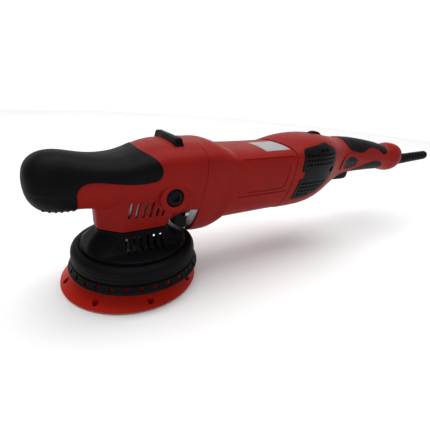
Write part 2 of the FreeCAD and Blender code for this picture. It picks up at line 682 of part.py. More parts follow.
# --------------------------------------------------------------------------------------------
# Shroud: a ridged ring with a holed skirt, under a dome that flares out from an eight-sided neck
# --------------------------------------------------------------------------------------------
shroud_ring = turned("shroud_ring", [
    ("56.4", "skirt_base"), ("skirt_radius", "skirt_base"), ("skirt_radius", "20.4"), ("57.3", "21"),
    ("55.5", "25.4"), ("54", "25.9"), ("54", "26.6"), ("54.7", "27.1"), ("55", "28"), ("55", "30.4"),
    ("54.7", "30.6"), ("54.7", "31"), ("55", "31.2"), ("55", "33.6"), ("54.7", "33.8"), ("54.7", "34.2"),
    ("54.9", "34.4"), ("54.6", "36.2"), ("53.8", "37.9"), ("52.4", "39.2"), ("50.4", "39.9"),
    ("48.2", "39.9"), ("47.4", "39.4"), ("47.2", "38.8"), ("46.6", "38.8"), ("46.6", "dome_foot - 0.6"),
    ("42.9", "dome_foot - 0.6"), ("42.9", "37.2"), ("50", "37.2"),
    ("52.2", "35.4"), ("52.4", "27"), ("54", "24.4"), ("55.8", "20.4"),
])
skirt_hole = circles(shroud_ring, "skirt_hole", [("0", "skirt_hole_height", "skirt_hole_radius")], "XZ_Plane")
pierce(shroud_ring, skirt_hole, 15)

# Height, then the reach of the front, the front corner, the side, the rear corner and the rear.
DOME = [
    (58.3, 33.0, 28.3, 23.6, 31.8, 26.8), (55.6, 34.0, 29.2, 24.2, 32.2, 27.8),
    (52.4, 36.8, 31.8, 25.0, 34.0, 30.8), (49.0, 40.0, 35.2, 25.8, 37.0, 35.0),
    (46.0, 42.6, 39.0, 26.8, 40.6, 39.4), (43.9, 44.6, 42.6, 28.8, 43.4, 43.2),
    (42.5, 45.8, 45.0, 36.0, 45.4, 45.2),
]
DOME_TURNS = (180, 131.6, 90, 41.8, 0)


def dome(inset, sink=0.0):
    """Flared dome, with its faces set in and the whole of it sunk a little."""
    limit = value("dome_radius")
    rings = [ring(height - sink, list(zip(DOME_TURNS, reaches)), inset, limit)
             for height, *reaches in DOME]
    foot = value("dome_foot") - sink
    for height in (foot, foot - 2):
        rings.append(ring(height, [(turn, FAR) for turn in DOME_TURNS], inset, limit))
    return Part.makeLoft(rings, True).common(Part.makeCylinder(limit - inset, 30, Vector(0, 0, foot - 2)))


SHROUD_WALL, SHELF_WALL = 2.3, 2.0
dome_shell = dome(0.0).cut(dome(SHROUD_WALL, SHELF_WALL))
snout_hole = Part.makeCylinder(value("snout_radius") + 0.2, 10, Vector(0, 0, 52))
dome_slots = []
for i in range(6):
    dome_slots.append(Part.makeBox(2.4, 120, 11.4, Vector(-14.8 + 5.95 * i, -60, 42.2)))
dome_whole = dome_shell.cut(snout_hole).cut(Part.makeCompound(dome_slots))
keep("shroud", fuse("shroud", [shroud_ring, shaped("shroud_dome", dome_whole.removeSplitter())]))
keep("shroud_clamp", turned("shroud_clamp", [
    ("snout_radius", "52.1"), ("snout_radius + 1.4", "52.1"), ("snout_radius + 1.4", "56.2"),
    ("snout_radius", "56.2"),
]))

# --------------------------------------------------------------------------------------------
# Head cover, front grip, rest bar and side plugs
# --------------------------------------------------------------------------------------------
GRIP_EDGE = [
    (-1.5, 132.0), (0.5, 126.6), (4.6, 123.8), (8.8, 121.6), (12.0, 118.0), (13.6, 113.0), (13.0, 108.4),
    (10.4, 105.2), (5.0, 103.4), (-3.0, 102.6), (-12.0, 102.6), (-22.0, 103.4), (-32.0, 104.4), (-39.0, 104.0),
    (-43.4, 102.0), (-46.2, 98.4), (-47.0, 93.0),
]
WIDE = 60.0                                  # further out than any surface of the tool
RUBBER = 2.6                                 # depth of the grip's rubber below the cover's surface
PROUD = 0.5                                  # how far rubber stands out of the cover


def zone(edge, closing):
    """Slab along Y whose (x, z) outline is a smooth edge closed by straight runs."""
    spots = [Vector(x, -WIDE, z) for x, z in edge]
    curve = Part.BSplineCurve()
    curve.interpolate(Points=spots)
    far = [spots[-1]] + [Vector(x, -WIDE, z) for x, z in closing] + [spots[0]]
    runs = [Part.LineSegment(far[i], far[i + 1]).toShape() for i in range(len(far) - 1)]
    return Part.Face(Part.Wire([curve.toShape()] + runs)).extrude(Vector(0, 2 * WIDE, 0))


grip_zone = zone(GRIP_EDGE, [(-47.0, 50.0), (-100.0, 50.0), (-100.0, 150.0), (-1.5, 150.0)])
head_skin = hull(HEAD)
head_core = hull(HEAD, -RUBBER)


def tower(inset=0.0):
    """Eight-sided tower under the head, with a bevelled foot; set in, it is the room inside."""
    base = value("tower_base")
    if inset:
        return Part.makeLoft([ring(base - 4, TOWER_LOW, inset), ring(104.0, TOWER_HIGH, inset)], True, True)
    return Part.makeLoft([ring(base, TOWER_LOW, 1.2), ring(base + 1.2, TOWER_LOW), ring(104.0, TOWER_HIGH)],
                         True, True)


boss_x, boss_z, boss_reach = value("boss_x"), value("boss_height"), value("boss_reach")
boss = cylinder(value("boss_radius"), (boss_x, -21.5, boss_z), (boss_x, -boss_reach, boss_z), side * -1)
boss_rim = [edge for edge in boss.Edges if abs(edge.BoundBox.YMin + boss_reach) < 0.01 and edge.Length > 60]
boss = boss.makeFillet(1.4, boss_rim[:1])
boss_hole = cylinder(value("plug_radius") + 0.25, (boss_x, -28, boss_z), (boss_x, -40, boss_z), side * -1)

notch = zone([(28.6, 57.0), (28.8, 60.5), (30.6, 64.6), (34.0, 68.6), (39.0, 71.2), (45.0, 72.0), (60.0, 72.4)],
             [(60.0, 20.0), (28.6, 20.0)])
slot_shapes = []
for slot_x, low, high in ((-9.6, 71.4, 85.6), (-3.8, 71.2, 85.4), (2.0, 70.8, 85.2), (7.8, 70.6, 85.0),
                          (12.8, 70.4, 78.4), (17.6, 70.2, 76.0)):
    slot = Part.makeBox(2.3, 2 * WIDE, high - low, Vector(-1.15, -WIDE, (low - high) / 2))
    slot = slot.makeFillet(1.1, [e for e in slot.Edges if abs(e.tangentAt(e.FirstParameter).y) > 0.99])
    slot.Placement = Placement(Vector(slot_x, 0, (low + high) / 2), Rotation(Vector(0, 1, 0), 12))
    slot_shapes.append(slot)

cover = head_skin.cut(grip_zone).fuse([head_core, tower(), boss, mirrored(boss)])
cover = cover.cut(notch)
wall = value("cover_wall")
room_rear = hull(HEAD, -wall, (0.0, 1.0)).common(Part.makeBox(60, 120, 140, Vector(19, -60, 0)))
cover_room = hull(HEAD, -RUBBER - wall, (0.0, 1.0)).fuse([room_rear, tower(wall)])
boss_floor = boss.common(Part.makeBox(60, 9, 60, Vector(0, -30.5, 60)))
cover_room = cover_room.cut(Part.makeCompound([boss_floor, mirrored(boss_floor)]))
cover = cover.cut(cover_room)
cover = cover.cut(Part.makeCompound(slot_shapes + [boss_hole, mirrored(boss_hole)]))
cover = cover.cut(Part.makeBox(10, 120, 140, Vector(value("seam_front") - 0.4, -60, 0)))
cover = cover.cut(Part.makeBox(70, 120, value("tower_base"), Vector(-40, -60, 0)))
keep("head_cover", shaped("head_cover", cover.removeSplitter()))

grip_bed = head_core.fuse(tower())
grip = hull(HEAD, PROUD).common(grip_zone).cut(grip_bed)
ribs = []
for i in range(6):
    band = slab(HEAD, -70.6 + 4.2 * i, -69.2 + 4.2 * i, PROUD + 0.6)
    ribs.append(band.common(Part.makeBox(80, 26, 20, Vector(-90, -13, 64))).cut(grip_bed))
grip = grip.fuse(ribs)
keep("front_grip", shaped("front_grip", grip.removeSplitter()))

bar_across = prism("bar_across", [
    ("-25.5", "123"), ("-22", "133.4"), ("-20.6", "134.1"), ("20.6", "134.1"), ("22", "133.4"), ("25.5", "123"),
], "27", "39", "YZ_Plane")
bar_along = prism("bar_along", [
    ("28", "120"), ("29.8", "132.8"), ("30.8", "134.1"), ("34.8", "134.1"), ("35.8", "132.8"), ("38", "120"),
], "-26", "26")
bar_seat = shaped("bar_seat", slab(HEAD, 20, 48, 0.0))
keep("rest_bar", cut("rest_bar", common("bar_block", bar_across, bar_along), [bar_seat]))

for side_name, sign in SIDES:
    label = "side_plug_" + side_name
    plug = turned(label, [
        ("0", "0"), ("plug_radius", "0"), ("plug_radius", "6.6"), ("plug_radius - 1.2", "7.8"), ("4.2", "8.4"),
        ("3.4", "8.4"), ("3.4", "6.4"), ("0", "6.4"),
    ])
    plug.Placement = Placement(Vector(boss_x, sign * 28.1, boss_z), Rotation(Vector(0, 0, 1), Vector(0, sign, 0)))
    keep(label, plug)

# --------------------------------------------------------------------------------------------
# Motor housing and what it carries
# --------------------------------------------------------------------------------------------
housing = hull(FLANGE).fuse(hull(BARREL))
housing_room = hull(FLANGE, -2.4, (-1.0, 1.0)).fuse(hull(BARREL, -2.4, (-3.0, 1.0)))
housing = housing.cut(housing_room)
stator_hole = cylinder(value("stator_radius") + 0.04, (80, 0, motor_z), (150, 0, motor_z), back)
webs = [slab(BARREL, x, x + 4.0, -1.0).cut(stator_hole) for x in (93.0, 123.0)]
screw_posts = [cylinder(5.0, (52.0, y, z), (59.5, y, z), back) for y, z in FLANGE_HOLES]
screw_posts = [post.common(hull(FLANGE, -1.0)) for post in screw_posts]
post_holes = [cylinder(2.05, (51.0, y, z), (58.8, y, z), back) for y, z in FLANGE_HOLES]
housing = housing.fuse(webs + screw_posts).cut(Part.makeCompound(post_holes))
barrel_skin = hull(BARREL, 0.5).cut(hull(BARREL, -0.55))
panel = rounded_patch([(95.0, 82.5), (146.0, 82.5), (146.0, 111.5), (95.0, 111.5)], 8.0, -WIDE, WIDE)
grooves = [Part.makeBox(60, 2 * WIDE, 1.3, Vector(90, -WIDE, z)) for z in (78.4, 114.6)]
housing = housing.cut(Part.makeCompound([barrel_skin.common(tool) for tool in [panel] + grooves]))
housing = housing.cut(Part.makeBox(10, 120, 140, Vector(value("seam_rear") - 0.4, -60, 0)))
keep("motor_housing", shaped("motor_housing", housing.removeSplitter()))

label_skin = hull(BARREL, 0.3).cut(hull(BARREL, 0.0))
label_area = Part.makeBox(30, 31, 40, Vector(121, -27, 100))
keep("rating_label", shaped("rating_label", label_skin.common(label_area)))

on_motor = ("0", "0", "motor_height")
keep("motor_shaft", turned("motor_shaft", [
    ("0", "8.8"), ("2.6", "8.8"), ("2.6", "24"), ("5", "24"), ("5", "30.4"), ("7.44", "30.4"), ("7.44", "47"),
    ("shaft_radius", "47"), ("shaft_radius", "164"), ("3.94", "164"), ("3.94", "174"), ("0", "174"),
], on_motor, "X"))
pinion_point = Vector(crown_pitch, 0, motor_z + pinion_pitch)
pinion_out = Vector(-pinion_pitch, 0, crown_pitch).normalize()
low_outer, low_inner = cone_line(pinion_point, pinion_out, TOOTH_ROOT)
pinion_blank = spun([
    (2.64, low_inner.x), (low_inner.z - motor_z, low_inner.x), (low_outer.z - motor_z, low_outer.x),
    (low_outer.z - motor_z, low_outer.x + 1.0), (8.4, low_outer.x + 1.6), (8.4, 30.2), (5.04, 30.2),
    (5.04, 23.9), (2.64, 23.9),
], Vector(0, 0, motor_z), back, up)
pinion_solid = gear(pinion_blank, tooth(pinion_point, pinion_out, side), value("pinion_teeth"),
                    Vector(0, 0, motor_z), back, 0)
keep("pinion", shaped("pinion", pinion_solid))
nut = hexagon(3.6).extrude(Vector(0, 0, 2.6))
nut.Placement = Placement(Vector(9.6, 0, motor_z), TURNS["X"])
keep("pinion_nut", shaped("pinion_nut", nut.cut(cylinder(2.64, (8, 0, motor_z), (14, 0, motor_z), back))))

core = turned("armature_core", [
    ("shaft_radius + 0.02", "stack_front"), ("rotor_radius", "stack_front"),
    ("rotor_radius", "stack_front + stack_long"), ("shaft_radius + 0.02", "stack_front + stack_long"),
], on_motor, "X")
pierce(core, circles(core, "core_slot", [("rotor_radius - 2.4", "0", "1.7")]), 12)
keep("armature_core", core)
winding_rings = [turned("winding_" + name, [
    ("8", start), ("17", start), ("18.4", middle), ("17", end), ("8", end),
], on_motor, "X") for name, start, middle, end in (
    ("front", "79.5", "84", "87.9"), ("rear", "132.1", "136", "141"))]
keep("armature_windings", fuse("armature_windings", winding_rings))
bars = turned("commutator", [
    ("shaft_radius + 0.02", "commutator_front"), ("14.4", "commutator_front"), ("14.4", "147"),
    ("commutator_radius", "147.4"), ("commutator_radius", "159"), ("shaft_radius + 0.02", "159"),
], on_motor, "X")
slit = outline(bars, "commutator_slit", [
    ("11.8", "-0.3"), ("16", "-0.3"), ("16", "0.3"), ("11.8", "0.3"),
], "XY_Plane")
pierce(bars, slit, 22)
keep("commutator", bars)

fan_blades = []
for i in range(11):
    blade = Part.makeBox(9.6, 16.5, 1.4, Vector(60.4, 9.0, motor_z - 0.7))
    blade.rotate(Vector(60, 14, motor_z), back, 28)
    blade.rotate(Vector(0, 0, motor_z), back, 360.0 / 11 * i)
    fan_blades.append(blade)
fan_hub = spun([(6.02, 60.0), (10.0, 60.0), (10.5, 69.0), (26.5, 69.8), (26.5, 71.4), (6.02, 71.4)],
               Vector(0, 0, motor_z), back, up)
fan_limit = cylinder(value("fan_radius"), (59, 0, motor_z), (73, 0, motor_z), back)
keep("cooling_fan", shaped("cooling_fan", fan_hub.multiFuse(fan_blades).common(fan_limit).removeSplitter()))

ball_bearing("motor_bearing_front", "16", "7.5", "10", ("34.9", "0", "motor_height"), "X")
ball_bearing("motor_bearing_rear", "11", "4", "7", ("166", "0", "motor_height"), "X")

keep("field_stack", turned("field_stack", [
    ("rotor_radius + 0.6", "stack_front"), ("stator_radius", "stack_front"),
    ("stator_radius", "stack_front + stack_long"), ("rotor_radius + 0.6", "stack_front + stack_long"),
], on_motor, "X"))
coil_gap = Part.makeBox(80, 8, 80, Vector(70, -4, motor_z - 40))
coils = []
for start, end in ((80.5, 87.8), (132.2, 139.5)):
    ring = cylinder(28.0, (start, 0, motor_z), (end, 0, motor_z), back)
    coils.append(ring.cut(cylinder(21.5, (start, 0, motor_z), (end, 0, motor_z), back)).cut(coil_gap))
keep("field_coils", shaped("field_coils", Part.makeCompound(coils)))
baffle = slab(FLANGE, 76.0, 78.0, -2.7).cut(cylinder(20.0, (70, 0, motor_z), (80, 0, motor_z), back))
keep("fan_baffle", shaped("fan_baffle", baffle))

bridge = slab(REAR, 160.0, 163.5, -2.8)
for y, z in ((-20.0, 108.0), (20.0, 108.0), (0.0, 65.0), (-22.0, 76.0), (22.0, 76.0)):
    bridge = bridge.cut(cylinder(8.0, (150, y, z), (170, y, z), back))
bridge = bridge.fuse(cylinder(14.0, (160, 0, motor_z), (174, 0, motor_z), back))
bridge = bridge.cut(cylinder(6.8, (150, 0, motor_z), (167, 0, motor_z), back))
bridge = bridge.cut(cylinder(11.02, (165.9, 0, motor_z), (180, 0, motor_z), back))
keep("bearing_bridge", shaped("bearing_bridge", bridge.removeSplitter()))
holders, brushes = [], []
for side_name, sign in SIDES:
    inner, outer = 15.4, 31.0
    low_y = inner if sign > 0 else -outer
    box = Part.makeBox(12.0, outer - inner, 10.4, Vector(148.0, low_y, motor_z - 5.2))
    way = Part.makeBox(8.2, 60, 6.6, Vector(149.5, -30, motor_z - 3.3))
    holders.append(box.cut(way))
    tip = value("commutator_radius") + 0.25
    brush = Part.makeBox(8.0, 15.0, 6.4, Vector(149.6, tip if sign > 0 else -tip - 15.0, motor_z - 3.2))
    brushes.append(brush)
keep("brushes", shaped("brushes", Part.makeCompound(brushes)))
keep("brush_holders", shaped("brush_holders", Part.makeCompound(holders)))

# --------------------------------------------------------------------------------------------
# Rear handle: two halves, vent grilles, rubber inlays, controls
# --------------------------------------------------------------------------------------------
GRILLE = [(162.4, 121.0), (196.0, 126.0), (213.0, 118.5), (216.5, 100.0), (210.5, 83.0), (196.0, 71.0),
          (179.0, 66.0), (162.4, 65.0)]
UPPER_EDGE = [
    (249.0, 131.0), (250.0, 124.0), (253.6, 118.0), (260.0, 113.2), (269.0, 110.2), (279.0, 108.4), (287.0, 108.6),
    (293.0, 111.2), (301.0, 112.6), (311.0, 112.2), (319.0, 110.0), (326.0, 105.8), (332.0, 102.8), (337.4, 104.6),
    (339.8, 110.0), (344.0, 114.0), (348.0, 120.0),
]
LOWER_EDGE = [
    (277.0, 79.0), (281.0, 86.6), (293.0, 89.8), (304.0, 93.6), (313.0, 95.4), (321.0, 95.0), (329.0, 92.6),
    (333.6, 89.0), (334.4, 85.0), (331.0, 78.0),
]
BUTTON = [(247.4, 93.6), (248.4, 100.2), (253.8, 103.8), (261.0, 104.6), (269.4, 102.2), (275.4, 97.4),
          (273.6, 93.4), (265.0, 91.2), (254.6, 90.8)]
INLAY_DEPTH = 1.2

rear_skin = hull(REAR)
rear_shell = rear_skin.cut(hull(REAR, -wall, (-1.0, 0.0)))
proud_skin = hull(REAR, PROUD)
inlay_bed = hull(REAR, -INLAY_DEPTH, (-1.0, 0.0))
upper_zone = zone(UPPER_EDGE, [(348.0, 150.0), (249.0, 150.0)])
lower_zone = zone(LOWER_EDGE, [(331.0, 60.0), (277.0, 60.0)])
inlay_skin = proud_skin.cut(inlay_bed)
grille_patch = rounded_patch(GRILLE, 4.5, -WIDE, 0.0)
grille_step = rounded_patch([(155.0, 90.5), (167.0, 90.5), (167.0, 99.0), (155.0, 99.0)], 1.2, -WIDE, 0.0)
grille_gap = rounded_patch(grown(GRILLE, 0.4), 4.7, -WIDE, 0.0)
grille_body = proud_skin.cut(hull(REAR, -wall + 0.1, (-1.0, 0.0))).common(grille_patch).cut(grille_step)

dial_x, dial_z = value("dial_x"), value("dial_height")
dial_room = cylinder(value("dial_radius") + 0.7, (dial_x, -4.2, dial_z), (dial_x, 4.2, dial_z), side)
pivot_x, pivot_z = value("trigger_pivot_x"), value("trigger_pivot_z")
trigger_room = Part.makeBox(32.0, 16.4, 30.0, Vector(246.0, -8.2, 58.0))
sleeve_start = Vector(364.0, 0, 87.8)
sleeve_way = Vector(math.cos(math.radians(2)), 0, math.sin(math.radians(2)))
sleeve_room = Part.makeCylinder(value("sleeve_radius") + 0.05, 40, sleeve_start, sleeve_way)
collar_room = Part.makeCylinder(9.6, 6, sleeve_start - sleeve_way * 1.0, sleeve_way)
button_room = smooth_patch(grown(BUTTON, 0.4), -WIDE, -8.0)
bezel = smooth_patch(grown(BUTTON, 4.2), -WIDE, -8.0)
bezel = hull(REAR, 1.3).cut(hull(REAR, -0.5)).common(bezel)
pin_rib = Part.makeBox(7.0, 6.0, 8.6, Vector(pivot_x - 3.5, -14.3, pivot_z - 4.0)).common(hull(REAR, -0.6))
pin_hole = cylinder(1.52, (pivot_x, -10.9, pivot_z), (pivot_x, 10.9, pivot_z), side)
sleeve_wall = Part.makeBox(8.0, 60, 60, Vector(361.0, -30, 60)).common(hull(REAR, -1.0))

# One screw sits in a well in the left vent grille; two more enter from the right half.
HANDLE_SCREWS = [(210.0, -14.0, 97.5), (300.0, 12.0, 101.0), (352.0, 12.0, 102.0)]
SCREW_HEAD, SCREW_SHANK = 3.0, 1.75
posts, wells = {"left": [], "right": []}, []
post_limit = hull(REAR, -0.6)
for x, y, z in HANDLE_SCREWS:
    posts["left"].append(cylinder(3.6, (x, -60, z), (x, -0.05, z), side).common(post_limit))
    posts["right"].append(cylinder(3.6, (x, 0.05, z), (x, 60, z), side).common(post_limit))
    wells.append(Part.makeCylinder(SCREW_SHANK + 0.03, 21, Vector(x, y, z), Vector(0, -math.copysign(1, y), 0)))
    wells.append(Part.makeCylinder(SCREW_HEAD + 0.2, 50, Vector(x, y, z), Vector(0, math.copysign(1, y), 0)))
screw_x, screw_y, screw_z = HANDLE_SCREWS[0]
grille_post = cylinder(4.8, (screw_x, -28.5, screw_z), (screw_x, screw_y, screw_z), side)
grille_rib = Part.makeBox(14, 13, 2.4, Vector(screw_x, -28, screw_z - 1.2)).common(post_limit)
short_of_grille = Part.makeBox(20, 57, 20, Vector(200, -28.5, 88))
for side_name, sign in SIDES:
    posts[side_name][0] = posts[side_name][0].common(short_of_grille)
    posts[side_name].append(grille_rib if sign < 0 else mirrored(grille_rib))
    clamp_post = Part.makeCylinder(3.0, 22, Vector(344, sign * 7.2, 69.9)).common(post_limit)
    posts[side_name].append(clamp_post)
    wells.append(Part.makeCylinder(1.62, 4, Vector(344, sign * 7.2, 88.5)))
posts["left"].append(grille_post)
handle_screws = [screw(spot, RIGHTWARD if spot[1] < 0 else LEFTWARD, SCREW_HEAD, SCREW_SHANK, 2.4, 20.0)
                 for spot in HANDLE_SCREWS]
keep("handle_screws", shaped("handle_screws", Part.makeCompound(handle_screws)))

half_room = {"left": Part.makeBox(400, 100, 200, Vector(100, -100.05, 0)),
             "right": Part.makeBox(400, 100, 200, Vector(100, 0.05, 0))}
shared_cuts = Part.makeCompound([dial_room, trigger_room, sleeve_room, collar_room])
bed_cuts = hull(REAR, 2.0).cut(inlay_bed)
whole_handle = rear_shell.fuse([sleeve_wall])
whole_handle = whole_handle.cut(bed_cuts.common(upper_zone)).cut(bed_cuts.common(lower_zone))
whole_handle = whole_handle.cut(shared_cuts)
for side_name, sign in SIDES:
    def on_side(shape):
        return shape if sign < 0 else mirrored(shape)
    shell = whole_handle.common(half_room[side_name])
    shell = shell.cut(on_side(grille_gap.cut(grille_step)))
    shell = shell.fuse([on_side(pin_rib)] + posts[side_name]).cut(Part.makeCompound([pin_hole] + wells))
    if side_name == "left":
        shell = shell.fuse(bezel).cut(button_room)
    keep("handle_" + side_name, shaped("handle_" + side_name, shell.removeSplitter()))

HOLE_ROWS, HOLE_COLUMNS, HOLE_SIZE = 4, 10, 2.5
holes = []
for row in range(HOLE_ROWS):
    for column in range(HOLE_COLUMNS):
        for lowest in (70.0, 104.4):
            corner = Vector(167.0 + 4.4 * column, -WIDE, lowest + 4.6 * row)
            holes.append(Part.makeBox(HOLE_SIZE, WIDE, HOLE_SIZE, corner))
inner_patch = rounded_patch(grown(GRILLE, -3.6), 3.0, -WIDE, 0.0)
holes = [hole for hole in holes if hole.common(inner_patch).Volume > 0.98 * hole.Volume]
screw_well = cylinder(SCREW_HEAD + 0.2, (screw_x, -60, screw_z), (screw_x, -10, screw_z), side)
grille = grille_body.cut(Part.makeCompound(holes))
for side_name, sign in SIDES:
    label = "vent_grille_" + side_name
    keep(label, shaped(label, grille.cut(screw_well) if sign < 0 else mirrored(grille)))
    for name, area in (("upper_inlay_", upper_zone), ("lower_inlay_", lower_zone)):
        skin = inlay_skin.common(area).common(half_room[side_name])
        keep(name + side_name, shaped(name + side_name, skin))

button = hull(REAR, 1.0).common(smooth_patch(BUTTON, -WIDE, -10.8))
button = button.fuse(smooth_patch(grown(BUTTON, 1.4), -11.8, -10.8))
keep("lock_button", shaped("lock_button", button.removeSplitter()))

trigger = prism("trigger_block", [
    ("247.6", "79"), ("248.4", "75.4"), ("250.6", "73.8"), ("270.4", "73.6"), ("274.2", "74.8"), ("275.8", "78"),
    ("275.8", "85.2"), ("272", "86.4"), ("250", "87"), ("247.6", "84.6"),
], flipped("trigger_half"), "trigger_half")
trigger_bore = rod("trigger_bore", "1.56", "40", ("trigger_pivot_x", "-20", "trigger_pivot_z"), "Y")
keep("trigger", cut("trigger", trigger, [trigger_bore]))
keep("trigger_pin", rod("trigger_pin", "1.5", "21.6", ("trigger_pivot_x", "-10.8", "trigger_pivot_z"), "Y"))
keep("switch_body", block("switch_body", ("34", "14.4", "16"), ("259", "-7.2", "89.8")))

dial = turned("speed_dial", [
    ("0", "-6.8"), ("2", "-6.8"), ("2", flipped("dial_half")), ("dial_radius - 0.8", flipped("dial_half")),
    ("dial_radius", "-2.7"), ("dial_radius", "2.7"), ("dial_radius - 0.8", "dial_half"), ("2", "dial_half"),
    ("2", "6.8"), ("0", "6.8"),
], ("dial_x", "0", "dial_height"), "Y")
notch_sketch = circles(dial, "dial_knurl", [("dial_radius + 0.3", "0", "0.8")])
pierce(dial, notch_sketch, 36)
keep("speed_dial", dial)
controller = Part.makeBox(34, 24, 4.2, Vector(189, -12, 101.8))
for y in (-6.7, 4.7):
    ear = Part.makeBox(7, 2.0, 18.0, Vector(dial_x - 3.5, y, 104.0))
    controller = controller.fuse(ear)
controller = controller.cut(Part.makeCompound([
    dial_room, cylinder(2.06, (dial_x, -8, dial_z), (dial_x, 8, dial_z), side)]))
keep("speed_controller", shaped("speed_controller", controller.removeSplitter()))

keep("cord_clamp", cut("cord_clamp", block("clamp_bar", ("8", "20", "4"), ("340", "-10", "92")),
                       [rod("clamp_bore_a", "1.7", "9", ("344", "-7.2", "90")),
                        rod("clamp_bore_b", "1.7", "9", ("344", "7.2", "90"))]))
screws("clamp_screws", [(344.0, -7.2, 96.0), (344.0, 7.2, 96.0)], DOWN, 2.6, 1.6, 2.2, 7.0)

sleeve_corners = [("cord_radius", "0"), ("9.4", "0"), ("9.4", "4"), ("sleeve_radius", "4"), ("sleeve_radius", "24")]
RINGS, FIRST_RING, RING_STEP = 11, 25.0, 6.9
for i in range(RINGS):
    start = FIRST_RING + RING_STEP * i
    radius = 7.3 - 0.09 * i
    sleeve_corners += [(str(round(radius - 1.3, 3)), str(start)), (str(round(radius - 1.3, 3)), str(start + 1.7)),
                       (str(round(radius, 3)), str(start + 2.1)), (str(round(radius, 3)), str(start + 6.4))]
sleeve_end = FIRST_RING + RING_STEP * RINGS
sleeve_corners += [("5.6", str(sleeve_end + 1.6)), ("4.6", str(sleeve_end + 2.2)), ("cord_radius", str(sleeve_end + 2.2))]
sleeve = turned("strain_relief", sleeve_corners)
sleeve.Placement = Placement(sleeve_start, Rotation(Vector(0, 0, 1), sleeve_way))
keep("strain_relief", sleeve)

duct = prism("air_duct", [
    ("31.6", "56"), ("37.4", "51.4"), ("43.8", "50.6"), ("43.8", "62"), ("40.2", "62"), ("39.4", "65.6"),
    ("35", "65.6"),
], "-17", "17")
keep("air_duct", duct)
doc.recompute()


# --------------------------------------------------------------------------------------------
# Check every object, then write one STEP file for each sub-part
# --------------------------------------------------------------------------------------------
def check_and_write():
    for thing in doc.Objects:
        if "Invalid" in thing.State or "Error" in thing.State:
            raise RuntimeError("%s failed to recompute" % thing.Name)
    for thing in parts:
        if thing.Shape.isNull() or not thing.Shape.isValid() or not thing.Shape.Solids:
            raise RuntimeError("%s has no valid solid" % thing.Label)
    os.makedirs("parts", exist_ok=True)
    for thing in parts:
        thing.Shape.exportStep("parts/%s.step" % thing.Label)


check_and_write()
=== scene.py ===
"""Looks of a dual action polisher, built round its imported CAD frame.

Metres, in the frame of the CAD model: origin on the spindle's axis in the plane of the pad face, +Z up,
+X back towards the rear handle, -Y towards the user's left.
"""
import json
import math

import bpy
from mathutils import Matrix, Vector

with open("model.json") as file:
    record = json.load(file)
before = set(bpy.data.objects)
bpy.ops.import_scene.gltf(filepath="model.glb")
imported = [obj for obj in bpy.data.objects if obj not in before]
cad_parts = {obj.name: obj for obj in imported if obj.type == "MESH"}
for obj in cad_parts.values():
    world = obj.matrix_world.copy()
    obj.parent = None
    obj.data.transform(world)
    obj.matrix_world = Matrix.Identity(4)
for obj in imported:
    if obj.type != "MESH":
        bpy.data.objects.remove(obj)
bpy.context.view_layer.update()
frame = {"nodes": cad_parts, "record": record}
nodes = frame["nodes"]
scene = bpy.context.scene
scene.view_settings.view_transform = "Standard"

# --------------------------------------------------------------------------------------------
# Camera
# --------------------------------------------------------------------------------------------
CAMERA_PLACE = Vector((-0.07303, -0.25379, 0.17839))
CAMERA_LOOK = Vector((0.48710, 0.77830, -0.39622))
CAMERA_RIGHT = Vector((0.86047, -0.50531, 0.06524))
CAMERA_LENS = 26.12                       # millimetres on a 36 mm sensor


def add_camera():
    data = bpy.data.cameras.new("camera")
    data.lens = CAMERA_LENS
    data.sensor_width = 36.0
    data.clip_start = 0.01
    look = CAMERA_LOOK.normalized()
    right = (CAMERA_RIGHT - look * CAMERA_RIGHT.dot(look)).normalized()
    up = right.cross(look)
    turn = Matrix((right, up, -look)).transposed().to_4x4()
    camera = bpy.data.objects.new("camera", data)
    camera.matrix_world = Matrix.Translation(CAMERA_PLACE) @ turn
    scene.collection.objects.link(camera)
    scene.camera = camera


add_camera()


# --------------------------------------------------------------------------------------------
# Materials: each is a Principled shader with its colour, roughness and bump varied by noise
# --------------------------------------------------------------------------------------------
WAVE_REPEAT = 0.314                       # a wave node at scale 1 repeats every 0.314 of a unit
NOISE_LOW, NOISE_HIGH = 0.3, 0.7          # most of a noise's values lie between these


